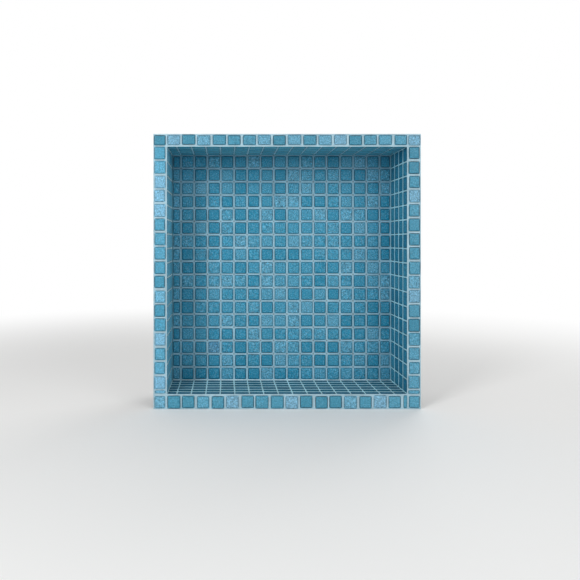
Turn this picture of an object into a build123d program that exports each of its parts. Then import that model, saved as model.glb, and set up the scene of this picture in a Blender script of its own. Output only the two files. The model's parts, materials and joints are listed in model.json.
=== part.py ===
"""Shower niche insert: a moulded pan, lined and framed with square mosaic tiles on grout.

Millimetres, +Z up. The opening faces -Y. The origin is the middle of the opening, in the plane of
the wall's face, where the back of the pan's flange lies.
"""

import os

from build123d import *

# Niche, measured between the grout faces of its walls and from the grout face of its border.
opening_width = 396.8
opening_height = 408.8
niche_depth = 96.0

# Mosaic tiles: pressed squares with sloping edges, standing a little out of the grout. Those of the
# side walls and ceiling are a little shorter from front to back, and those of the sill much shorter.
tile = 20.8
wall_tile = 20.0
sill_tile = 11.8
tile_proud = 0.3
edge_slope = 30.0

# Joints: those across and up the niche, those from its front to its back with the gap before the
# first tile, the line round the opening, and the ones along each border strip.
niche_joint = 3.25
depth_joint = 4.4
front_gap = 0.6
arris_joint = 2.8
top_joint = 4.2
bottom_joint = 3.6
side_joint = 2.9

# The left column of the niche is cut: this is where its joint falls, measured from the left wall.
first_joint = 15.8

# Border strips round the opening: how wide their tiles are cut, and the grout outside them.
top_strip = 16.8
bottom_strip = 20.8
left_strip = 18.2
right_strip = 18.4
outer_margin = 1.6

# Grout bed under and between the tiles, and the pan that carries it.
bed = 5.0
pan_wall = 4.0
pan_draft = 1.0
pan_edge_radius = 6.0

# Places that follow from the sizes above.
half_width = opening_width / 2
half_height = opening_height / 2
front_y = -pan_wall - bed
back_y = front_y + niche_depth
pan_inside_y = back_y + bed
pan_back_y = pan_inside_y + pan_wall
pan_inside_size = (opening_width + 2 * bed, opening_height + 2 * bed)
pan_back_size = (pan_inside_size[0] + 2 * pan_wall, pan_inside_size[1] + 2 * pan_wall)
flange_left = -half_width - arris_joint - left_strip - outer_margin
flange_right = half_width + arris_joint + right_strip + outer_margin
flange_top = half_height + arris_joint + top_strip + outer_margin
flange_bottom = -half_height - arris_joint - bottom_strip - outer_margin
flange_middle = ((flange_left + flange_right) / 2, (flange_bottom + flange_top) / 2)
flange_size = (flange_right - flange_left, flange_top - flange_bottom)


def facing_front(y):
    """Plane across the niche at a depth, facing out of the opening, with its own Y upwards."""
    return Plane(origin=(0, y, 0), x_dir=(1, 0, 0), z_dir=(0, -1, 0))


def tile_run(start, end, joint, size=tile, first=None):
    """Middle and size of each tile along a run that begins and ends halfway through a joint.

    The first joint falls a full tile from the start unless it is given. The last tile is cut to what
    is left over, or, where that is narrower than a joint, the joints are widened to take it up.
    """
    way = 1 if end > start else -1
    length = abs(end - start)
    joints = [0.0]
    place = first or size + joint
    while place < length:
        joints.append(place)
        place += size + joint
    if length - joints[-1] >= 2 * joint:
        joints.append(length)
    spans = [((a + b) / 2, round(b - a - joint, 6)) for a, b in zip(joints, joints[1:])]
    widening = (length - joints[-1]) / max(len(spans) - 1, 1)
    return [(start + way * (middle + n * widening), width) for n, (middle, width) in enumerate(spans)]


def pressed_tile(size):
    """One tile, sloping in from its seat on the grout to its face."""
    with BuildPart() as one:
        with BuildSketch():
            Rectangle(*size)
        extrude(amount=tile_proud, taper=edge_slope)
    return one.part


def mosaic(face, columns, rows):
    """Separate tiles on a grout face, one at each crossing of the columns and the rows."""
    places = {}
    for across, width in columns:
        for up, height in rows:
            places.setdefault((width, height), []).append((across, up))
    shapes = {size: pressed_tile(size) for size in places}
    with BuildPart(face) as field:
        for size, points in places.items():
            with Locations(*points):
                add(shapes[size])
    return field


def grout_slab(low, high):
    """Flat grout bed between two opposite corners."""
    with BuildPart() as slab:
        with Locations((Vector(low) + Vector(high)) / 2):
            Box(*(Vector(high) - Vector(low)))
    return slab


def mirrored(piece, plane):
    """The like piece on the other side of the niche."""
    with BuildPart() as twin:
        mirror(piece.part, about=plane)
    return twin


# Pan: a drafted tray with rounded outer edges behind a flat flange, open to the front.
with BuildPart() as niche_pan:
    with BuildSketch(facing_front(pan_back_y)):
        Rectangle(*pan_back_size)
    extrude(amount=pan_back_y, taper=-pan_draft)
    mouth = faces().sort_by(Axis.Y)[0]
    fillet(edges() - mouth.edges(), radius=pan_edge_radius)
    with BuildSketch(facing_front(0)):
        with Locations(flange_middle):
            Rectangle(*flange_size)
    extrude(amount=pan_wall)
    with BuildSketch(facing_front(pan_inside_y)):
        Rectangle(*pan_inside_size)
    extrude(amount=pan_inside_y + pan_wall, mode=Mode.SUBTRACT)

# Grout: the back first, then the sill and ceiling, then the side walls between them, then the border.
back_wall_grout = grout_slab(
    (-half_width - bed, back_y, -half_height - bed),
    (half_width + bed, pan_inside_y, half_height + bed),
)
sill_grout = grout_slab(
    (-half_width - bed, -pan_wall, -half_height - bed),
    (half_width + bed, back_y, -half_height),
)
ceiling_grout = mirrored(sill_grout, Plane.XY)
left_wall_grout = grout_slab(
    (-half_width - bed, -pan_wall, -half_height),
    (-half_width, back_y, half_height),
)
right_wall_grout = mirrored(left_wall_grout, Plane.YZ)
with BuildPart() as border_grout:
    with BuildSketch(facing_front(-pan_wall)):
        with Locations(flange_middle):
            Rectangle(*flange_size)
        Rectangle(opening_width, opening_height, mode=Mode.SUBTRACT)
    extrude(amount=bed)

# Niche mosaic: the columns of the sill and ceiling and the rows of the side walls run on from the back wall.
columns = tile_run(-half_width, half_width, niche_joint, first=first_joint)
rows = tile_run(half_height, -half_height, niche_joint)
run_start = front_y + front_gap - depth_joint / 2
wall_depths = tile_run(run_start, back_y, depth_joint, wall_tile)
sill_depths = tile_run(run_start, back_y, depth_joint, sill_tile)
back_wall_tiles = mosaic(facing_front(back_y), columns, rows)
sill_tiles = mosaic(Plane.XY.offset(-half_height), columns, sill_depths)
ceiling_tiles = mirrored(mosaic(Plane.XY.offset(-half_height), columns, wall_depths), Plane.XY)
left_wall_tiles = mosaic(Plane.YZ.offset(-half_width), wall_depths, rows)
right_wall_tiles = mirrored(left_wall_tiles, Plane.YZ)

# Border mosaic: full tiles from one end of each strip, then a cut piece where they don't come out even.
corner_x = half_width + arris_joint / 2
corner_z = half_height + arris_joint / 2
left_column = [(-half_width - arris_joint - left_strip / 2, left_strip)]
right_column = [(half_width + arris_joint + right_strip / 2, right_strip)]
top_row = [(half_height + arris_joint + top_strip / 2, top_strip)]
bottom_row = [(-half_height - arris_joint - bottom_strip / 2, bottom_strip)]
top_run = left_column + tile_run(-corner_x, corner_x, top_joint) + right_column
bottom_run = left_column + tile_run(-corner_x, corner_x, bottom_joint) + right_column
side_run = tile_run(corner_z, -corner_z, side_joint)
border_top_tiles = mosaic(facing_front(front_y), top_run, top_row)
border_bottom_tiles = mosaic(facing_front(front_y), bottom_run, bottom_row)
border_left_tiles = mosaic(facing_front(front_y), left_column, side_run)
border_right_tiles = mosaic(facing_front(front_y), right_column, side_run)

pieces = {
    "niche_pan": niche_pan,
    "back_wall_grout": back_wall_grout,
    "sill_grout": sill_grout,
    "ceiling_grout": ceiling_grout,
    "left_wall_grout": left_wall_grout,
    "right_wall_grout": right_wall_grout,
    "border_grout": border_grout,
    "back_wall_tiles": back_wall_tiles,
    "sill_tiles": sill_tiles,
    "ceiling_tiles": ceiling_tiles,
    "left_wall_tiles": left_wall_tiles,
    "right_wall_tiles": right_wall_tiles,
    "border_top_tiles": border_top_tiles,
    "border_bottom_tiles": border_bottom_tiles,
    "border_left_tiles": border_left_tiles,
    "border_right_tiles": border_right_tiles,
}
os.makedirs("parts", exist_ok=True)
for name, piece in pieces.items():
    piece.part.label = name
    export_step(piece.part, f"parts/{name}.step")
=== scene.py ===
"""Looks of a shower niche insert: pressed glass mosaic in cement grout, on a moulded pan.

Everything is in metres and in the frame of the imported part: +Z up, the niche opens towards -Y.
"""

from __future__ import annotations

import json
import logging
import math
from dataclasses import asdict, dataclass, replace
from enum import Enum
from typing import Any, Mapping, Optional, Sequence, Union

import bpy
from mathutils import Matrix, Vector

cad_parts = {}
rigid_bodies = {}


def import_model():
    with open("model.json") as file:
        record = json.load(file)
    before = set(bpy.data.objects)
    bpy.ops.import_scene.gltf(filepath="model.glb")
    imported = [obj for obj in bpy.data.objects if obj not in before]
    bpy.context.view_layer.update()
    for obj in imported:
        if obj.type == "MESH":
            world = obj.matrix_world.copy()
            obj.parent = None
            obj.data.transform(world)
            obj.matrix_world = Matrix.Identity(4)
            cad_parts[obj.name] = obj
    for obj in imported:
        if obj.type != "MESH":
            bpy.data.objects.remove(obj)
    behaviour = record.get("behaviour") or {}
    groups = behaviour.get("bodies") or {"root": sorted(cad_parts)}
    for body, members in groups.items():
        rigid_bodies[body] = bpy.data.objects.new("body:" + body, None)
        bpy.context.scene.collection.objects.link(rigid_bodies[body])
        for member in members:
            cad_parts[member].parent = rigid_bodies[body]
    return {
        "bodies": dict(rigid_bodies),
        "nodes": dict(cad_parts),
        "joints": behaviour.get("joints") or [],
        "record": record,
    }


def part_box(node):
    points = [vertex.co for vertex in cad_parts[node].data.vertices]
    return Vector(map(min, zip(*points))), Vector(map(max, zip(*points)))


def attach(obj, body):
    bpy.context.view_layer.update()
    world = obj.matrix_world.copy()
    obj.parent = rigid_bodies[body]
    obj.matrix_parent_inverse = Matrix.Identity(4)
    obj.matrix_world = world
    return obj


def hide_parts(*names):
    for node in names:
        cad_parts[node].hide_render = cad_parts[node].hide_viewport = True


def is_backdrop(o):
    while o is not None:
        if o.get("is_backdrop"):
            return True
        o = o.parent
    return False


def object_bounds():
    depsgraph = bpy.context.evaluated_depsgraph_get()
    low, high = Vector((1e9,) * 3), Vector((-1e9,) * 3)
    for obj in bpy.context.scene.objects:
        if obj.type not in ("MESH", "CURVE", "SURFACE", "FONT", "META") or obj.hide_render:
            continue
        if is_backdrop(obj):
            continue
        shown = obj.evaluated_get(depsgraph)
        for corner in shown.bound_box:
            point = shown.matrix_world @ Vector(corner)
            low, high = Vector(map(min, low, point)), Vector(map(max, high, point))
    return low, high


LOG = logging.getLogger("shower_niche")
BODY = "root"

Triple = tuple[float, float, float]
Screen = tuple[int, int, int]
Linear = tuple[float, float, float, float]
Operand = Union["Wire", float, str, Sequence[float], Sequence["Wire"], bpy.types.ID]

# How a screen turns the numbers of a colour into light.
SCREEN_FULL = 255
SCREEN_KNEE = 0.04045
SCREEN_SLOPE = 12.92
SCREEN_OFFSET = 0.055
SCREEN_POWER = 2.4

WHITE: Linear = (1.0, 1.0, 1.0, 1.0)

# Values that the tile tree keeps on the tiles for their finish.
TILE_SHADE = "tile_shade"
EDGE_DISTANCE = "edge_distance"


def srgb(red: int, green: int, blue: int) -> Linear:
    """Turns a colour as a screen shows it into the linear one that a shader takes.

    Args:
        red: Red, from 0 to 255.
        green: Green, from 0 to 255.
        blue: Blue, from 0 to 255.

    Returns:
        The linear colour, with full alpha.
    """
    linear = []
    for channel in (red, green, blue):
        share = channel / SCREEN_FULL
        curved = ((share + SCREEN_OFFSET) / (1 + SCREEN_OFFSET)) ** SCREEN_POWER
        linear.append(share / SCREEN_SLOPE if share <= SCREEN_KNEE else curved)
    return (*linear, 1.0)


class Wire:
    """An output socket of a node, used in sums the way a number is."""

    def __init__(self, tree: Tree, socket: bpy.types.NodeSocket) -> None:
        """Keeps the socket and the tree that it belongs to."""
        self.tree = tree
        self.socket = socket

    def other(self, name: str) -> Wire:
        """Gives another output of the same node."""
        return Wire(self.tree, self.tree.find(self.socket.node.outputs, name))

    def __add__(self, value: Operand) -> Wire:
        """Adds a value or a socket."""
        return self.tree.math("ADD", self, value)

    def __radd__(self, value: Operand) -> Wire:
        """Is added to a value."""
        return self.tree.math("ADD", value, self)

    def __sub__(self, value: Operand) -> Wire:
        """Takes a value or a socket away."""
        return self.tree.math("SUBTRACT", self, value)

    def __rsub__(self, value: Operand) -> Wire:
        """Is taken away from a value."""
        return self.tree.math("SUBTRACT", value, self)

    def __mul__(self, value: Operand) -> Wire:
        """Multiplies by a value or a socket."""
        return self.tree.math("MULTIPLY", self, value)

    def __rmul__(self, value: Operand) -> Wire:
        """Multiplies a value."""
        return self.tree.math("MULTIPLY", value, self)

    def __truediv__(self, value: Operand) -> Wire:
        """Divides by a value or a socket."""
        return self.tree.math("DIVIDE", self, value)

    def __rtruediv__(self, value: Operand) -> Wire:
        """Divides a value."""
        return self.tree.math("DIVIDE", value, self)

    def held(self) -> Wire:
        """Keeps the value between 0 and 1."""
        return self.tree.math("MINIMUM", self.tree.math("MAXIMUM", self, 0.0), 1.0)

    def ramp(self, start: float, end: float) -> Wire:
        """Rises smoothly from 0 at the start to 1 at the end."""
        inputs = {"Value": self, "From Min": start, "From Max": end}
        return self.tree.add("ShaderNodeMapRange", {"interpolation_type": "SMOOTHSTEP"}, inputs)


class Tree:
    """A node tree in the making, for a finish or for a shape."""

    NOISE_ROUGHNESS = 0.7

    def __init__(self, nodes: bpy.types.NodeTree) -> None:
        """Starts on a tree with no nodes left in it."""
        self.nodes = nodes
        self.nodes.nodes.clear()

    @staticmethod
    def find(sockets: Any, key: Union[int, str]) -> bpy.types.NodeSocket:
        """Finds a socket by its place, or by its name among those in use.

        Args:
            sockets: The inputs or the outputs of a node.
            key: A number or a name.

        Returns:
            The socket.
        """
        if isinstance(key, int):
            return sockets[key]
        return next(socket for socket in sockets if socket.name == key and socket.enabled)

    def feed(self, socket: bpy.types.NodeSocket, value: Operand) -> None:
        """Links a socket, or sets it to a fixed value.

        Args:
            socket: The input to feed.
            value: A wire, a list of wires, or a plain value.
        """
        if isinstance(value, Wire):
            self.nodes.links.new(value.socket, socket)
        elif isinstance(value, list):
            for wire in value:
                self.nodes.links.new(wire.socket, socket)
        else:
            socket.default_value = value

    def add(
        self,
        kind: str,
        settings: Optional[Mapping[str, Any]] = None,
        inputs: Optional[Mapping[Union[int, str], Operand]] = None,
        output: Union[int, str] = 0,
    ) -> Wire:
        """Adds a node of any kind.

        Args:
            kind: The node's type.
            settings: Its own settings, which are set first. Stops fill a colour ramp.
            inputs: Wires or values for its sockets, by name or place.
            output: The output to give back.

        Returns:
            The wire from that output.
        """
        node = self.nodes.nodes.new(kind)
        for name, value in (settings or {}).items():
            if name == "stops":
                self.set_stops(node.color_ramp, value)
            else:
                setattr(node, name, value)
        for key, value in (inputs or {}).items():
            self.feed(self.find(node.inputs, key), value)
        return Wire(self, self.find(node.outputs, output))

    @staticmethod
    def set_stops(ramp: bpy.types.ColorRamp, stops: Sequence[tuple[float, Linear]]) -> None:
        """Fills a ramp that steps from colour to colour.

        Args:
            ramp: The ramp of a node.
            stops: Places and colours, in order.
        """
        ramp.interpolation = "CONSTANT"
        while len(ramp.elements) < len(stops):
            ramp.elements.new(1.0)
        for element, (place, colour) in zip(ramp.elements, stops):
            element.position = place
            element.color = colour

    def math(self, operation: str, *values: Operand) -> Wire:
        """Works out one sum on numbers."""
        return self.add("ShaderNodeMath", {"operation": operation}, dict(enumerate(values)))

    def vector(self, operation: str, *values: Operand, output: str = "Vector") -> Wire:
        """Works out one sum on vectors or colours."""
        return self.add("ShaderNodeVectorMath", {"operation": operation}, dict(enumerate(values)), output)

    def scaled(self, vector: Operand, factor: Operand) -> Wire:
        """Multiplies a vector or a colour by a number."""
        return self.add("ShaderNodeVectorMath", {"operation": "SCALE"}, {0: vector, "Scale": factor})

    def dot(self, first: Operand, second: Operand) -> Wire:
        """Gives how far one vector reaches along another."""
        return self.vector("DOT_PRODUCT", first, second, output="Value")

    def parts(self, vector: Operand, output: str = "X") -> Wire:
        """Takes a vector apart, and gives one of its numbers."""
        return self.add("ShaderNodeSeparateXYZ", {}, {"Vector": vector}, output)

    def blend(self, factor: Operand, first: Operand, second: Operand) -> Wire:
        """Mixes two colours."""
        settings = {"data_type": "RGBA"}
        return self.add("ShaderNodeMix", settings, {"Factor": factor, "A": first, "B": second}, "Result")

    def noise(self, place: Operand, grain: float, detail: float = 2.0) -> Wire:
        """Gives a soft random pattern from 0 to 1, with patches of one size and finer layers in them."""
        inputs = {"Vector": place, "Scale": 1 / grain, "Detail": detail, "Roughness": self.NOISE_ROUGHNESS}
        return self.add("ShaderNodeTexNoise", {}, inputs, "Fac")


class Glass(Enum):
    """Shades of the pressed glass, each with its colour and its share of the tiles."""

    DEEP = ((38, 142, 177), 0.16)
    LAGOON = ((58, 149, 184), 0.17)
    POOL = ((76, 155, 188), 0.17)
    SKY = ((86, 160, 194), 0.17)
    SURF = ((112, 166, 197), 0.17)
    FOAM = ((139, 175, 204), 0.15)
    LILAC = ((130, 156, 194), 0.01)

    @property
    def colour(self) -> Linear:
        """The shade as a shader takes it."""
        return srgb(*self.value[0])

    @property
    def share(self) -> float:
        """How many of the tiles have this shade, as a part of 1."""
        return self.value[1]

    @classmethod
    def stops(cls) -> list[tuple[float, Linear]]:
        """Lays the shades side by side from 0 to 1, each as wide as its share.

        Returns:
            The place where each shade starts, and its colour.
        """
        stops = []
        reached = 0.0
        for glass in cls:
            stops.append((reached, glass.colour))
            reached += glass.share
        return stops


class Face(Enum):
    """Sides of the mosaic, each with its own across, up and outward directions."""

    FRONT = ((1, 0, 0), (0, 0, 1), (0, -1, 0))
    SILL = ((1, 0, 0), (0, 1, 0), (0, 0, 1))
    CEILING = ((1, 0, 0), (0, -1, 0), (0, 0, -1))
    LEFT = ((0, 1, 0), (0, 0, 1), (1, 0, 0))
    RIGHT = ((0, -1, 0), (0, 0, 1), (-1, 0, 0))

    @property
    def across(self) -> Triple:
        """The direction of the rows."""
        return self.value[0]

    @property
    def up(self) -> Triple:
        """The direction of the columns."""
        return self.value[1]

    @property
    def out(self) -> Triple:
        """The direction that the tiles face."""
        return self.value[2]


class Axis(Enum):
    """Directions of the frame, by the names that nodes have for them."""

    ACROSS = "X"
    DEEP = "Y"
    UP = "Z"


def new_finish(name: str) -> tuple[bpy.types.Material, Tree]:
    """Starts a material on an empty node tree.

    Args:
        name: The name of the material.

    Returns:
        The material and its tree.
    """
    material = bpy.data.materials.new(name)
    material.use_nodes = True
    return material, Tree(material.node_tree)


def close_finish(tree: Tree, shader: Wire) -> None:
    """Sends a shader to the output of its material."""
    finish = tree.nodes.nodes.new("ShaderNodeOutputMaterial")
    tree.feed(finish.inputs["Surface"], shader)


def close_surface(
    tree: Tree,
    colour: Wire,
    roughness: Wire,
    height: Wire,
    bump: float,
    specular: float = 0.5,
) -> None:
    """Closes a finish with a solid surface that has small bumps.

    Args:
        tree: The tree of the finish.
        colour: The colour of the surface.
        roughness: How dull it is, from 0 to 1.
        height: The pattern of its bumps, from 0 to 1.
        bump: How high they are, in metres.
        specular: How strongly it shines.
    """
    inputs = {
        "Base Color": colour,
        "Roughness": roughness,
        "Specular IOR Level": specular,
        "Normal": tree.add("ShaderNodeBump", {}, {"Height": height, "Distance": bump, "Strength": 1.0}),
    }
    close_finish(tree, tree.add("ShaderNodeBsdfPrincipled", {}, inputs))


@dataclass(frozen=True)
class GlassFinish:
    """Pressed glass with a mottled colour, pale flecks and darker edges.

    Attributes:
        name: The name of the material.
        lift: What the red, green and blue of every shade are multiplied by: the glass's own tint, and in
            each face's copy also painted light and shade.
        evenness: How far the shades are drawn towards the middle one.
        swing: How much brighter the palest tiles are than the deepest.
        fleck_depth: How strongly the flecks show.
        specular: How strongly the glass shines.
        mottle_grain: The size of the mottling.
        fleck_grain: The size of the flecks.
        mottle_depth: How strongly the mottling shows.
        fleck: The colour of the flecks.
        fleck_start: The value of their pattern at which they begin to show.
        fleck_full: The value at which they show fully.
        calm: How much of the mottling and flecks the deepest tiles have.
        edge_tone: How bright the edges are against the face.
        edge_width: How far the darker edges reach in.
        bump: The height of the bumps.
        mottle_height: The share of the mottling in the bumps.
        fleck_height: The share of the flecks in the bumps.
        roughness: How dull the glass is where it is smoothest.
        rough_spread: How much duller it is where it is roughest.
        tile_shift: How far the patterns move on from one shade to the next.
        fleck_shift: How far the flecks are moved from the mottling.
    """

    name: str
    lift: Triple
    evenness: float
    swing: float = 0.0
    fleck_depth: float = 0.32
    specular: float = 0.2
    mottle_grain: float = 0.0020
    fleck_grain: float = 0.0020
    mottle_depth: float = 1.95
    fleck: Screen = (156, 206, 226)
    fleck_start: float = 0.40
    fleck_full: float = 0.70
    calm: float = 0.62
    edge_tone: float = 0.36
    edge_width: float = 0.0026
    bump: float = 0.00016
    mottle_height: float = 0.6
    fleck_height: float = 0.4
    roughness: float = 0.26
    rough_spread: float = 0.2
    tile_shift: Triple = (31.0, 17.0, 23.0)
    fleck_shift: Triple = (5.0, 5.0, 5.0)

    def make(self) -> bpy.types.Material:
        """Builds the material.

        Returns:
            The finish of the tiles.
        """
        material, tree = new_finish(self.name)
        shade = tree.add("ShaderNodeAttribute", {"attribute_name": TILE_SHADE}, output="Fac")
        surface = tree.add("ShaderNodeTexCoord", output="Object")
        place = tree.vector("ADD", surface, tree.scaled(self.tile_shift, shade))
        mottle = tree.noise(place, self.mottle_grain, detail=1.0)
        fleck = tree.noise(tree.vector("ADD", place, self.fleck_shift), self.fleck_grain, detail=1.0)
        clear = self.clear(tree)
        lively = self.calm + shade * (2 - 2 * self.calm)
        tone = 1 + (mottle - 0.5) * lively * self.mottle_depth
        tone = tone * (1 + (shade - 0.5) * self.swing)
        rim = self.edge_tone * (0.5 + shade)
        tone = tone * (rim + clear * (1 - rim))
        colour = tree.add("ShaderNodeValToRGB", {"stops": Glass.stops()}, {"Fac": shade}, "Color")
        colour = tree.blend(self.evenness, colour, Glass.POOL.colour)
        colour = tree.vector("MULTIPLY", colour, self.lift)
        flecked = fleck.ramp(self.fleck_start, self.fleck_full) * lively * self.fleck_depth * clear
        colour = tree.blend(flecked, colour, srgb(*self.fleck))
        roughness = self.roughness + mottle * self.rough_spread
        height = mottle * self.mottle_height + fleck * self.fleck_height
        close_surface(tree, tree.scaled(colour, tone), roughness, height, self.bump, self.specular)
        return material

    def clear(self, tree: Tree) -> Wire:
        """Tells the face of a tile from its edges.

        Args:
            tree: The tree of the finish.

        Returns:
            1 on the face and at the corners, and 0 on an edge.
        """
        edge = tree.add("ShaderNodeAttribute", {"attribute_name": EDGE_DISTANCE}, output="Vector")
        edge = tree.parts(edge)
        across = edge.ramp(0.0, self.edge_width)
        up = edge.other("Y").ramp(0.0, self.edge_width)
        return 1 - tree.math("ABSOLUTE", across - up)


@dataclass(frozen=True)
class Crossings:
    """Darker spots in the grout where the joints of a wall cross.

    Attributes:
        across: Where one of the upright joints is.
        up: Where one of the level joints is.
        pitch: How far it is from joint to joint.
        spot: The radius of the spots.
        tone: What the grout is multiplied by in the middle of a spot.
    """

    across: float
    up: float
    pitch: float
    spot: float = 0.0026
    tone: Triple = (0.60, 0.43, 0.40)

    def apart(self, tree: Tree, place: Wire, joint: float) -> Wire:
        """Gives how far a coordinate lies from the nearest joint, by the place of any one joint."""
        return tree.math("PINGPONG", place - joint, self.pitch / 2)

    def shade(self, tree: Tree, place: Wire) -> Wire:
        """Gives the colour that the grout is multiplied by.

        Args:
            tree: The tree of the finish.
            place: The point on the wall.

        Returns:
            White between the crossings, and the tone of the spots on them.
        """
        parts = tree.parts(place)
        across = self.apart(tree, parts, self.across)
        up = self.apart(tree, parts.other("Z"), self.up)
        away = tree.math("SQRT", across * across + up * up)
        return tree.blend(away.ramp(0.0, self.spot), (*self.tone, 1.0), WHITE)


@dataclass(frozen=True)
class PaintedEdgeShading:
    """Painted shade along one edge of a wall's grout, which fades away from it. A tone above 1 makes it
    painted light.

    Attributes:
        axis: The direction that it fades in.
        edge: Where the edge is.
        reach: How far the tone reaches, below 0 where that is against the axis.
        tone: What the grout is multiplied by at the edge.
    """

    axis: Axis
    edge: float
    reach: float
    tone: Triple

    def shade(self, tree: Tree, place: Wire) -> Wire:
        """Gives the colour that the grout is multiplied by.

        Args:
            tree: The tree of the finish.
            place: The point on the wall.

        Returns:
            The tone at the edge, and white away from it.
        """
        along = tree.parts(place, self.axis.value)
        away = ((along - self.edge) / self.reach).ramp(0.0, 1.0)
        return tree.blend(away, (*self.tone, 1.0), WHITE)


Mark = Union[Crossings, PaintedEdgeShading]


@dataclass(frozen=True)
class GroutFinish:
    """Sanded cement grout, with fine grains and faint patches.

    Attributes:
        name: The name of the material.
        colour: Its colour where it isn't worn.
        marks: Places with another tone, such as darker spots where joints cross, and painted shade and
            painted light along a wall's edges.
        worn: How bright it is where it is worn.
        grain: The size of its grains.
        patch: The size of its patches.
        grain_share: How much of the wear follows the grains, and not the patches.
        wear_start: The value of their pattern at which the wear begins.
        wear_full: The value at which it is full.
        bump: The height of the grains.
        roughness: How dull it is between the grains.
        rough_spread: How much duller it is on them.
    """

    name: str
    colour: Screen
    marks: tuple[Mark, ...] = ()
    worn: float = 0.64
    grain: float = 0.0007
    patch: float = 0.03
    grain_share: float = 0.55
    wear_start: float = 0.66
    wear_full: float = 0.36
    bump: float = 0.00018
    roughness: float = 0.82
    rough_spread: float = 0.14

    def make(self) -> bpy.types.Material:
        """Builds the material.

        Returns:
            The finish of the grout.
        """
        material, tree = new_finish(self.name)
        place = tree.add("ShaderNodeTexCoord", output="Object")
        grains = tree.noise(place, self.grain)
        patches = tree.noise(place, self.patch, detail=3.0)
        pattern = grains * self.grain_share + patches * (1 - self.grain_share)
        wear = pattern.ramp(self.wear_start, self.wear_full)
        colour = tree.scaled(srgb(*self.colour)[:3], 1 - wear * (1 - self.worn))
        for mark in self.marks:
            colour = tree.vector("MULTIPLY", colour, mark.shade(tree, place))
        close_surface(tree, colour, self.roughness + grains * self.rough_spread, grains, self.bump)
        return material


@dataclass(frozen=True)
class PanFinish:
    """Grey moulded plastic with a fine grain.

    Attributes:
        name: The name of the material.
        colour: Its colour.
        dark: The colour of its clouds.
        grain: The size of its grain.
        cloud: The size of the clouds.
        cloud_start: The value of their pattern at which they begin to show.
        cloud_full: The value at which they show fully.
        bump: The height of the grain.
        roughness: How dull it is between the grains.
        rough_spread: How much duller it is on them.
    """

    name: str = "moulded_plastic"
    colour: Screen = (150, 155, 158)
    dark: Screen = (143, 148, 151)
    grain: float = 0.0009
    cloud: float = 0.06
    cloud_start: float = 0.35
    cloud_full: float = 0.65
    bump: float = 0.00006
    roughness: float = 0.42
    rough_spread: float = 0.2

    def make(self) -> bpy.types.Material:
        """Builds the material.

        Returns:
            The finish of the pan.
        """
        material, tree = new_finish(self.name)
        place = tree.add("ShaderNodeTexCoord", output="Object")
        grains = tree.noise(place, self.grain)
        clouds = tree.noise(place, self.cloud, detail=3.0).ramp(self.cloud_start, self.cloud_full)
        colour = tree.blend(clouds, srgb(*self.colour), srgb(*self.dark))
        close_surface(tree, colour, self.roughness + grains * self.rough_spread, grains, self.bump)
        return material


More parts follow.
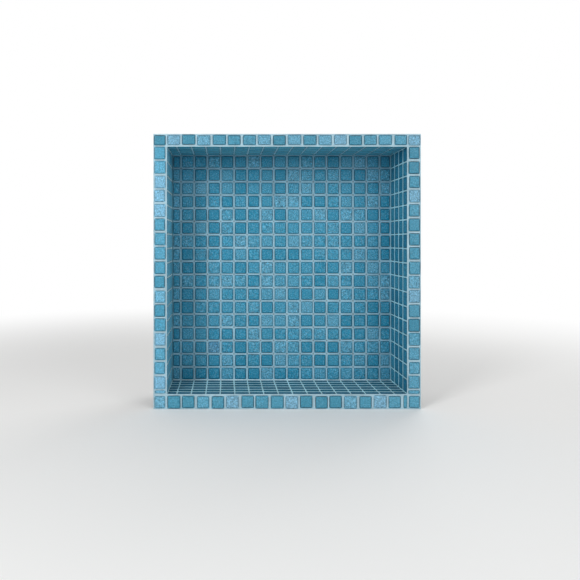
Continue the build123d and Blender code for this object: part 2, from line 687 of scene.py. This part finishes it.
@dataclass(frozen=True)
class Lining:
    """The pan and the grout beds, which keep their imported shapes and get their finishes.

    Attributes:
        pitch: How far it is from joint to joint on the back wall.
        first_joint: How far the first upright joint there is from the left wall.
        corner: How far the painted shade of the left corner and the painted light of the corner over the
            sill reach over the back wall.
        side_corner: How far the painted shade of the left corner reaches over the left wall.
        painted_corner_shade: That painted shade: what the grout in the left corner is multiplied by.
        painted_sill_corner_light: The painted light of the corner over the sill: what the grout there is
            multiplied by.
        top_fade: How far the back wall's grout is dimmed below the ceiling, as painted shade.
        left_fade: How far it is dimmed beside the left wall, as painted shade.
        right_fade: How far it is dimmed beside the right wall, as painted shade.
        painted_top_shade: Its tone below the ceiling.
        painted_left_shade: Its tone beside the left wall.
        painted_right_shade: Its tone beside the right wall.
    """

    pitch: float = 0.02405
    first_joint: float = 0.0158
    corner: float = 0.0026
    side_corner: float = 0.004
    # Painted shade in the left corner and along the top and sides of the back wall's grout, and painted
    # light along its corner over the sill.
    painted_corner_shade: Triple = (0.26, 0.42, 0.45)
    painted_sill_corner_light: Triple = (2.0, 1.45, 1.3)
    top_fade: float = 0.1444
    left_fade: float = 0.0884
    right_fade: float = 0.0684
    painted_top_shade: Triple = (0.74, 0.82, 0.86)
    painted_left_shade: Triple = (0.82, 0.87, 0.88)
    painted_right_shade: Triple = (0.84, 0.88, 0.90)

    def back_marks(self) -> tuple[Mark, ...]:
        """Places the marks of the back wall's grout by the beds round it: darker spots where its joints
        cross, painted shade in its left corner and along its top and sides, and painted light along its
        corner over the sill.

        Returns:
            The marks.
        """
        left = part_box("left_wall_grout")[1].x
        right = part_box("right_wall_grout")[0].x
        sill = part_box("sill_grout")[1].z
        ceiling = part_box("ceiling_grout")[0].z
        return (
            Crossings(left + self.first_joint, ceiling, self.pitch),
            PaintedEdgeShading(Axis.ACROSS, left, self.corner, self.painted_corner_shade),
            PaintedEdgeShading(Axis.UP, sill, self.corner, self.painted_sill_corner_light),
            PaintedEdgeShading(Axis.UP, ceiling, -self.top_fade, self.painted_top_shade),
            PaintedEdgeShading(Axis.ACROSS, left, self.left_fade, self.painted_left_shade),
            PaintedEdgeShading(Axis.ACROSS, right, -self.right_fade, self.painted_right_shade),
        )

    def left_corner_painted_shade(self) -> tuple[Mark, ...]:
        """Places painted shade on the left wall's grout, in its corner with the back wall."""
        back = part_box("back_wall_grout")[0].y
        return (PaintedEdgeShading(Axis.DEEP, back, -self.side_corner, self.painted_corner_shade),)

    def dress(self, frame: Mapping[str, Any]) -> dict[str, Union[GroutFinish, PanFinish]]:
        """Gives each solid its finish.

        Args:
            frame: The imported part.

        Returns:
            The finishes, by the names of the solids.
        """
        # Each face gets its own colour of the one grout. The grout is lighter on the side walls, sill,
        # ceiling and border than on the back wall, and lightest on the left wall. This is painted light and
        # shade that the lamps don't give.
        finishes = {
            "niche_pan": PanFinish(),
            "back_wall_grout": GroutFinish("back_grout", (169, 214, 233), self.back_marks()),
            "sill_grout": GroutFinish("sill_grout", (200, 246, 255)),
            "ceiling_grout": GroutFinish("ceiling_grout", (186, 230, 246)),
            "left_wall_grout": GroutFinish("left_grout", (220, 250, 255), self.left_corner_painted_shade()),
            "right_wall_grout": GroutFinish("right_grout", (184, 240, 255)),
            "border_grout": GroutFinish("border_grout", (186, 221, 235)),
        }
        for node, finish in finishes.items():
            frame["nodes"][node].material_slots[0].material = finish.make()
        return finishes


@dataclass(frozen=True)
class TileShape:
    """Form of a pressed tile: rounded corners, rolled edges and the small ways in which tiles differ.

    Attributes:
        corner_radius: The radius of the corners.
        edge_roll: The width of the rolled edges.
        proud: How far the tile stands out of the grout.
        bedded: How deep it is set in the grout.
        crown: How much higher its middle is than the rim of its face.
        lean: The most that it leans, as a slope.
        turn: The most that it is turned in its plane, as a slope.
        wander: The most that it is moved from its place.
        spread_across: How much wider it is than its solid, on each side.
        spread_up: How much taller it is than its solid, at each end.
        uneven: How much the spread differs from tile to tile, as a part of it.
    """

    corner_radius: float = 0.0013
    edge_roll: float = 0.0003
    proud: float = 0.00014
    bedded: float = 0.0010
    crown: float = 0.00002
    lean: float = 0.0015
    turn: float = 0.008
    wander: float = 0.0003
    spread_across: float = 0.00015
    spread_up: float = 0.00015
    uneven: float = 2.6

    def inputs(self) -> dict[str, float]:
        """Gives the sizes under the names of the tile tree's inputs, such as Corner Radius."""
        return {name.replace("_", " ").title(): size for name, size in asdict(self).items()}


@dataclass(frozen=True)
class Reach:
    """What a point of a tile knows of itself in one direction, across or up.

    Attributes:
        ring: Its ring of the sheet.
        side: 1 or -1, for its side of the tile's middle.
        half: Half the size of the tile.
        inset: How far it lies in from the edge of the tile.
        curve: 1 at the edge, falling to 0 where the corners' rounding ends.
        edge: How far from the edge it counts as, for the finish.
    """

    ring: Wire
    side: Wire
    half: Wire
    inset: Wire
    curve: Wire
    edge: Wire


class MosaicTree:
    """Geometry nodes that set a pressed tile on each tile solid of a mosaic face.

    A tile is pressed from a square sheet of points. Counted from its edge, the sheet's rings become the
    foot of the tile, the shoulder where its edge starts to roll in, the rim of its face, and a ring halfway
    to its middle.

    Attributes:
        GRID: How many points the sheet has along each side.
        SHOULDER: The number of the shoulder's ring.
        FACE: The number of the ring that is the rim of the face.
        ROLL_DROP: How far the edge rolls down, as a part of how far it rolls in.
        RIM_REACH: The least distance from the edge that the middle of a tile counts as.
        SOLID_WELD: How close points of a solid or a tile have to be to be joined.
        SHEET_WELD: How close points of the sheet have to be to be joined.
        SOCKETS: The inputs of the tree and their types.
    """

    GRID = 8
    SHOULDER = 1
    FACE = 2
    ROLL_DROP = 0.4
    RIM_REACH = 0.003
    SOLID_WELD = 1e-6
    SHEET_WELD = 1e-3
    SOCKETS = {
        "Across": "NodeSocketVector",
        "Up": "NodeSocketVector",
        "Out": "NodeSocketVector",
        **{name: "NodeSocketFloat" for name in TileShape().inputs()},
        "Seed": "NodeSocketInt",
        "Glaze": "NodeSocketMaterial",
    }

    def __init__(self) -> None:
        """Builds the tree with its named inputs."""
        self.group = bpy.data.node_groups.new("pressed_tiles", "GeometryNodeTree")
        self.group.is_modifier = True
        self.tree = Tree(self.group)
        face = self.group.interface
        face.new_socket("Tiles", in_out="OUTPUT", socket_type="NodeSocketGeometry")
        face.new_socket("Seats", in_out="INPUT", socket_type="NodeSocketGeometry")
        self.identifiers = {
            name: face.new_socket(name, in_out="INPUT", socket_type=kind).identifier
            for name, kind in self.SOCKETS.items()
        }
        self.entry = self.tree.add("NodeGroupInput", output="Seats")
        tiles = self.shape(self.template(), self.seats())
        finish = self.tree.nodes.nodes.new("NodeGroupOutput")
        self.tree.feed(finish.inputs["Tiles"], tiles)

    def size(self, name: str) -> Wire:
        """Gives one of the tree's named inputs."""
        return self.entry.other(name)

    def store(self, geometry: Wire, name: str, value: Operand, kind: str = "FLOAT_VECTOR") -> Wire:
        """Keeps a value on every point of a geometry, under a name.

        Args:
            geometry: What to keep it on.
            name: The name.
            value: The value.
            kind: The type of the value.

        Returns:
            The geometry with the value on it.
        """
        settings = {"data_type": kind, "domain": "POINT"}
        inputs = {"Geometry": geometry, "Name": name, "Value": value}
        return self.tree.add("GeometryNodeStoreNamedAttribute", settings, inputs)

    def kept(self, name: str) -> Wire:
        """Reads a vector that was kept under a name."""
        settings = {"data_type": "FLOAT_VECTOR"}
        return self.tree.add("GeometryNodeInputNamedAttribute", settings, {"Name": name}, "Attribute")

    def welded(self, geometry: Wire, reach: float) -> Wire:
        """Joins points that lie on each other."""
        return self.tree.add("GeometryNodeMergeByDistance", {}, {"Geometry": geometry, "Distance": reach})

    def equal(self, first: Operand, second: Operand) -> Wire:
        """Tells whether two whole numbers are the same."""
        settings = {"data_type": "INT", "operation": "EQUAL"}
        return self.tree.add("FunctionNodeCompare", settings, {"A": first, "B": second})

    def seats(self) -> Wire:
        """Turns each tile solid into one point that knows its middle, its size and its own chances.

        Returns:
            The points.
        """
        tree = self.tree
        solids = self.welded(self.entry, self.SOLID_WELD)
        island = tree.add("GeometryNodeInputMeshIsland", output="Island Index")
        index = tree.add("GeometryNodeInputIndex")
        settings = {"data_type": "FLOAT_VECTOR", "domain": "POINT"}
        place = tree.add("GeometryNodeInputPosition")
        low = tree.add("GeometryNodeFieldMinAndMax", settings, {"Value": place, "Group ID": island}, "Min")
        high = low.other("Max")
        settings = {"data_type": "INT", "domain": "POINT"}
        first = tree.add("GeometryNodeFieldMinAndMax", settings, {"Value": index, "Group ID": island}, "Min")
        chance = {"ID": island, "Seed": self.size("Seed")}
        limits = {"Min": (-1.0, -1.0, -1.0), "Max": (1.0, 1.0, 1.0)}
        lean = tree.add("FunctionNodeRandomValue", {"data_type": "FLOAT_VECTOR"}, {**limits, **chance})
        chance["Seed"] = self.size("Seed") + 1
        drift = tree.add("FunctionNodeRandomValue", {"data_type": "FLOAT_VECTOR"}, {**limits, **chance})
        chance["Seed"] = self.size("Seed") + 2
        shade = tree.add("FunctionNodeRandomValue", {"data_type": "FLOAT"}, chance, "Value")
        solids = self.store(solids, "middle", tree.scaled(tree.vector("ADD", low, high), 0.5))
        solids = self.store(solids, "half", tree.scaled(tree.vector("SUBTRACT", high, low), 0.5))
        solids = self.store(solids, "lean", lean)
        solids = self.store(solids, "drift", drift)
        solids = self.store(solids, TILE_SHADE, shade, "FLOAT")
        inputs = {"Mesh": solids, "Selection": self.equal(index, first)}
        return tree.add("GeometryNodeMeshToPoints", {"mode": "VERTICES"}, inputs)

    def template(self) -> Wire:
        """Makes the closed sheet that every tile is pressed from: a grid on top and one face below.

        Returns:
            The sheet, whose points know their place on it, from -1 to 1 each way.
        """
        tree = self.tree
        inputs = {"Size X": 2.0, "Size Y": 2.0, "Vertices X": self.GRID, "Vertices Y": self.GRID}
        grid = tree.add("GeometryNodeMeshGrid", {}, inputs, "Mesh")
        beside = tree.add("GeometryNodeInputMeshEdgeNeighbors", output="Face Count")
        inputs = {"Mesh": grid, "Selection": self.equal(beside, 1)}
        outline = tree.add("GeometryNodeMeshToCurve", {}, inputs)
        base = tree.add("GeometryNodeFillCurve", {"mode": "NGONS"}, {"Curve": outline})
        base = tree.add("GeometryNodeFlipFaces", {}, {"Mesh": base})
        sheet = tree.add("GeometryNodeJoinGeometry", {}, {"Geometry": [grid, base]})
        sheet = self.welded(sheet, self.SHEET_WELD)
        return self.store(sheet, "sheet", tree.add("GeometryNodeInputPosition"))

    def reach(self, along: Wire, way: str, half: Wire, drift: Wire) -> Reach:
        """Works out where the points of the sheet come to lie on a tile, in one direction.

        Args:
            along: Their place on the sheet, from -1 to 1.
            way: The direction, Across or Up.
            half: Half the size of the tile's solid, as a vector.
            drift: The tile's own chances.

        Returns:
            What the points know of themselves in that direction.
        """
        tree = self.tree
        roll = self.size("Edge Roll")
        radius = self.size("Corner Radius")
        ring = (1 - tree.math("ABSOLUTE", along)) * ((self.GRID - 1) / 2)
        spread = self.size("Spread " + way) * (1 + drift.other("Z") * self.size("Uneven"))
        size = tree.math("ABSOLUTE", tree.dot(half, self.size(way))) + spread
        inner = (ring - self.FACE).held()
        inset = roll * (ring - self.SHOULDER).held() + inner * (size / 2 - roll)
        curve = ((radius - inset) / radius).held()
        edge = inset * tree.math("MAXIMUM", 2 * self.RIM_REACH / size, 1.0)
        return Reach(ring, tree.math("SIGN", along), size, inset, curve, edge)

    def rounded(self, reach: Reach, beside: Reach) -> Wire:
        """Rounds the corners of a tile, in one direction.

        Args:
            reach: The points in this direction.
            beside: The points in the other one.

        Returns:
            How far the points lie from the tile's middle.
        """
        bend = self.tree.math("SQRT", 1 - beside.curve * beside.curve / 2)
        inset = reach.inset + self.size("Corner Radius") * reach.curve * (1 - bend)
        return reach.side * (reach.half - inset)

    def rise(self, ring: Wire, slope: Wire) -> Wire:
        """Gives the height of a tile's points over the grout.

        Args:
            ring: Their ring of the sheet.
            slope: How far the tile's lean lifts them, before it is scaled.

        Returns:
            The height.
        """
        drop = self.size("Edge Roll") * self.ROLL_DROP
        bedded = self.size("Bedded")
        rise = ring.held() * (self.size("Proud") - drop + bedded) - bedded
        rise = rise + drop * (ring - self.SHOULDER).held()
        rise = rise + self.size("Crown") * (ring - self.FACE).held()
        return rise + self.size("Lean") * slope * ring.held()

    def shape(self, template: Wire, seats: Wire) -> Wire:
        """Presses a sheet into a tile at each seat.

        Args:
            template: The sheet.
            seats: The points.

        Returns:
            The finished tiles as one mesh.
        """
        tree = self.tree
        tiles = tree.add("GeometryNodeInstanceOnPoints", {}, {"Points": seats, "Instance": template})
        tiles = tree.add("GeometryNodeRealizeInstances", {}, {"Geometry": tiles})
        sheet = tree.parts(self.kept("sheet"))
        lean = tree.parts(self.kept("lean"))
        drift = tree.parts(self.kept("drift"))
        half = self.kept("half")
        wide = self.reach(sheet, "Across", half, drift)
        tall = self.reach(sheet.other("Y"), "Up", half, drift)
        x = self.rounded(wide, tall)
        y = self.rounded(tall, wide)
        slope = lean * x + lean.other("Y") * y
        rise = self.rise(tree.math("MINIMUM", wide.ring, tall.ring), slope)
        turn = self.size("Turn") * lean.other("Z")
        wander = self.size("Wander")
        across = x - turn * y + wander * drift
        up = y + turn * x + wander * drift.other("Y")
        out = rise - tree.math("ABSOLUTE", tree.dot(half, self.size("Out")))
        place = self.kept("middle")
        for way, distance in (("Across", across), ("Up", up), ("Out", out)):
            place = tree.vector("ADD", place, tree.scaled(self.size(way), distance))
        edge = tree.add("ShaderNodeCombineXYZ", {}, {"X": wide.edge, "Y": tall.edge})
        tiles = self.store(tiles, EDGE_DISTANCE, edge)
        tiles = tree.add("GeometryNodeSetPosition", {}, {"Geometry": tiles, "Position": place})
        tiles = self.welded(tiles, self.SOLID_WELD)
        for name in ("sheet", "middle", "half", "lean", "drift"):
            tiles = tree.add("GeometryNodeRemoveAttribute", {}, {"Geometry": tiles, "Name": name})
        tiles = tree.add("GeometryNodeSetShadeSmooth", {}, {"Geometry": tiles, "Shade Smooth": True})
        return tree.add("GeometryNodeSetMaterial", {}, {"Geometry": tiles, "Material": self.size("Glaze")})


@dataclass(frozen=True)
class Mosaic:
    """One face of mosaic, pressed tile by tile onto its tile solids.

    Attributes:
        node: The tile solids.
        face: The side of the mosaic.
        slot: The record's material slot; not used.
        glass: The finish of the tiles.
        seed: The start of their random numbers.
        shape: Their form.
    """

    node: str
    face: Face
    slot: str
    glass: GlassFinish
    seed: int
    shape: TileShape = TileShape()

    def build(
        self,
        frame: Mapping[str, Any],
        tree: MosaicTree,
        glaze: bpy.types.Material,
    ) -> bpy.types.Object:
        """Makes the tiles and lets them stand for the solids.

        Args:
            frame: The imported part.
            tree: The nodes that press the tiles.
            glaze: Their finish.

        Returns:
            The tiles as one plain mesh.
        """
        seats = frame["nodes"][self.node].data.copy()
        piece = bpy.data.objects.new(self.node + "_pressed", seats)
        bpy.context.scene.collection.objects.link(piece)
        modifier = piece.modifiers.new("tiles", "NODES")
        modifier.node_group = tree.group
        values = {
            "Across": self.face.across,
            "Up": self.face.up,
            "Out": self.face.out,
            **self.shape.inputs(),
            "Seed": self.seed,
            "Glaze": glaze,
        }
        for name, value in values.items():
            modifier[tree.identifiers[name]] = value
        shaped = piece.evaluated_get(bpy.context.evaluated_depsgraph_get())
        mesh = bpy.data.meshes.new_from_object(shaped)
        piece.modifiers.clear()
        piece.data = mesh
        bpy.data.meshes.remove(seats)
        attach(piece, BODY)
        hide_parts(self.node)
        return piece


@dataclass(frozen=True)
class Viewpoint:
    """Camera square to the wall, where the picture's vanishing point and scale put it.

    Attributes:
        eye: The place of the camera.
        picture_side: The side of the picture, in pixels.
        focal_pixels: The focal length, in pixels.
        vanishing_x: The pixel straight ahead of the camera, from the left.
        vanishing_y: The same pixel, from the top.
        sensor: The width of the sensor, in millimetres.
    """

    eye: Triple = (-0.1018, -0.9728, 0.0489)
    picture_side: float = 580.0
    focal_pixels: float = 583.0
    vanishing_x: float = 225.5
    vanishing_y: float = 240.8
    sensor: float = 36.0

    def place(self) -> None:
        """Makes the camera."""
        data = bpy.data.cameras.new("viewpoint")
        data.sensor_width = self.sensor
        data.lens = self.focal_pixels / self.picture_side * self.sensor
        data.shift_x = 0.5 - self.vanishing_x / self.picture_side
        data.shift_y = self.vanishing_y / self.picture_side - 0.5
        camera = bpy.data.objects.new("viewpoint", data)
        camera.location = self.eye
        camera.rotation_euler = (math.pi / 2, 0.0, 0.0)
        bpy.context.scene.collection.objects.link(camera)
        bpy.context.scene.camera = camera


@dataclass(frozen=True)
class Softbox:
    """A white lamp that points at the niche.

    Attributes:
        name: The name of the lamp.
        place: Where it hangs.
        width: Its width.
        height: Its height.
        power: Its power, in watts.
    """

    name: str
    place: Triple
    width: float
    height: float
    power: float

    def hang(self) -> None:
        """Makes the lamp."""
        data = bpy.data.lights.new(self.name, "AREA")
        data.shape = "RECTANGLE"
        data.size = self.width
        data.size_y = self.height
        data.energy = self.power
        lamp = bpy.data.objects.new(self.name, data)
        lamp.location = self.place
        lamp.rotation_euler = (-Vector(self.place)).to_track_quat("-Z", "Y").to_euler()
        bpy.context.scene.collection.objects.link(lamp)


@dataclass(frozen=True)
class Studio:
    """White floor without a horizon, soft lamps and an even sky.

    Attributes:
        side: Half the side of the floor.
        fade_start: How far from the object the floor begins to fade into the background.
        fade_end: How far from it the floor has faded.
        paper: The colour of the floor, as the camera sees it.
        bounce: Its colour in the light that it throws back.
        paper_roughness: How dull it is.
        paper_specular: How strongly it shines.
        sky: The strength of the sky's light.
        lamps: The lamps.
    """

    side: float = 12.0
    fade_start: float = 0.55
    fade_end: float = 1.6
    paper: Screen = (246, 246, 245)
    bounce: Screen = (212, 212, 212)
    paper_roughness: float = 0.95
    paper_specular: float = 0.05
    sky: float = 0.49
    lamps: tuple[Softbox, ...] = (
        Softbox("left_key", (-1.05, -1.3, 0.75), 0.5, 1.1, 13.8),
        Softbox("right_key", (0.85, -1.2, 0.6), 0.9, 0.9, 4.6),
        Softbox("rear", (0.8, 1.1, 0.9), 0.8, 0.8, 6.0),
    )

    @staticmethod
    def seen(tree: Tree) -> Wire:
        """Gives 1 for the rays that show the background: the camera's own, mirrored and let through."""
        camera = tree.add("ShaderNodeLightPath", output="Is Camera Ray")
        return (camera + camera.other("Is Glossy Ray") + camera.other("Is Transmission Ray")).held()

    def paper_finish(self) -> bpy.types.Material:
        """Builds the paper of the floor: the camera sees it pale, and it throws little light back.

        Returns:
            The material.
        """
        material, tree = new_finish("studio_paper")
        place = tree.add("ShaderNodeTexCoord", output="Object")
        seen = self.seen(tree)
        far = tree.vector("LENGTH", place, output="Value").ramp(self.fade_start, self.fade_end)
        inputs = {
            "Base Color": tree.blend(seen, srgb(*self.bounce), srgb(*self.paper)),
            "Roughness": self.paper_roughness,
            "Specular IOR Level": self.paper_specular,
        }
        paper = tree.add("ShaderNodeBsdfPrincipled", {}, inputs)
        glow = tree.add("ShaderNodeEmission", {}, {"Color": WHITE, "Strength": 1.0})
        close_finish(tree, tree.add("ShaderNodeMixShader", {}, {0: far * seen, 1: paper, 2: glow}))
        return material

    def floor(self, height: float) -> bpy.types.Object:
        """Lays the floor.

        Args:
            height: The height of the floor.

        Returns:
            The floor.
        """
        corners = ((-1, -1), (1, -1), (1, 1), (-1, 1))
        mesh = bpy.data.meshes.new("studio_floor")
        mesh.from_pydata([(x * self.side, y * self.side, height) for x, y in corners], [], [(0, 1, 2, 3)])
        mesh.materials.append(self.paper_finish())
        floor = bpy.data.objects.new("studio_floor", mesh)
        bpy.context.scene.collection.objects.link(floor)
        floor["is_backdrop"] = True
        return floor

    def light(self) -> None:
        """Hangs the lamps and sets the sky, which the camera sees as white."""
        for lamp in self.lamps:
            lamp.hang()
        world = bpy.data.worlds.new("studio_sky")
        world.use_nodes = True
        bpy.context.scene.world = world
        tree = Tree(world.node_tree)
        strength = self.sky + self.seen(tree) * (1 - self.sky)
        sky = tree.add("ShaderNodeBackground", {}, {"Color": WHITE, "Strength": strength})
        finish = tree.nodes.nodes.new("ShaderNodeOutputWorld")
        tree.feed(finish.inputs["Surface"], sky)


# Each face and border strip gets its own copy of the one glass, with its own multiplier that paints light
# and shade the lamps don't give. The left wall and the ceiling are lifted as painted light, and the sill and
# the right wall are darkened as painted shade. The border is lighter than the back wall, partly as painted
# light: its left strip is lifted more as painted light, and its top and right strips are darkened as painted
# shade.
NICHE_GLASS = GlassFinish("niche_glass", (0.42, 0.83, 0.855), 0.36)
LEFT_PAINTED_LIGHT_GLASS = GlassFinish("left_painted_light_glass", (0.54, 1.32, 1.26), 0.4)
SILL_PAINTED_SHADE_GLASS = GlassFinish("sill_painted_shade_glass", (0.07, 0.37, 0.41), 0.5, fleck_depth=0.14, specular=0.04)
CEILING_PAINTED_LIGHT_GLASS = GlassFinish("ceiling_painted_light_glass", (0.23, 1.10, 1.00), 0.5)
RIGHT_PAINTED_SHADE_GLASS = GlassFinish("right_painted_shade_glass", (0.08, 0.58, 0.64), 0.3, fleck_depth=0.2, specular=0.1)
BORDER_GLASS = GlassFinish(
    "border_glass",
    (1.40, 1.13, 1.05),
    0.66,
    swing=0.28,
    fleck_depth=0.24,
    mottle_depth=1.5,
)
SHADED_BORDER_GLASS = replace(BORDER_GLASS, name="shaded_border_glass", lift=(1.14, 0.98, 0.93))
PAINTED_LIGHT_BORDER_GLASS = replace(BORDER_GLASS, name="painted_light_border_glass", lift=(1.35, 1.20, 1.16))
WALL_TILE = TileShape(wander=0.0001, spread_across=0.0, spread_up=0.0005, uneven=0.5)
SHELF_TILE = TileShape(wander=0.0001, spread_across=0.0005, spread_up=0.0, uneven=0.5)
BORDER_TILE = TileShape(wander=0.0006)
TOP_TILE = TileShape(wander=0.0006, spread_across=0.0006, uneven=0.6)
MOSAICS = (
    Mosaic("back_wall_tiles", Face.FRONT, "niche_tile", NICHE_GLASS, 11),
    Mosaic("sill_tiles", Face.SILL, "niche_tile", SILL_PAINTED_SHADE_GLASS, 23, SHELF_TILE),
    Mosaic("ceiling_tiles", Face.CEILING, "niche_tile", CEILING_PAINTED_LIGHT_GLASS, 37, SHELF_TILE),
    Mosaic("left_wall_tiles", Face.LEFT, "niche_tile", LEFT_PAINTED_LIGHT_GLASS, 41, WALL_TILE),
    Mosaic("right_wall_tiles", Face.RIGHT, "niche_tile", RIGHT_PAINTED_SHADE_GLASS, 53, WALL_TILE),
    Mosaic("border_top_tiles", Face.FRONT, "border_tile", SHADED_BORDER_GLASS, 67, TOP_TILE),
    Mosaic("border_bottom_tiles", Face.FRONT, "border_tile", BORDER_GLASS, 71, BORDER_TILE),
    Mosaic("border_left_tiles", Face.FRONT, "border_tile", PAINTED_LIGHT_BORDER_GLASS, 83, BORDER_TILE),
    Mosaic("border_right_tiles", Face.FRONT, "border_tile", SHADED_BORDER_GLASS, 97, BORDER_TILE),
)


def main() -> None:
    """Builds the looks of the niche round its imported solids, and reports each piece."""
    logging.basicConfig(level=logging.INFO)
    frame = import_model()
    solid_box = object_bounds()
    bpy.context.scene.view_settings.view_transform = "Standard"
    Viewpoint().place()
    studio = Studio()
    floor = studio.floor(solid_box[0].z)
    LOG.info("%s: laid", floor.name)
    studio.light()
    for node, finish in Lining().dress(frame).items():
        LOG.info("%s: %s", node, finish.name)
    glazes = {glass: glass.make() for glass in dict.fromkeys(mosaic.glass for mosaic in MOSAICS)}
    tree = MosaicTree()
    for mosaic in MOSAICS:
        piece = mosaic.build(frame, tree, glazes[mosaic.glass])
        LOG.info("%s: %d faces", piece.name, len(piece.data.polygons))


if __name__ == "__main__":
    main()
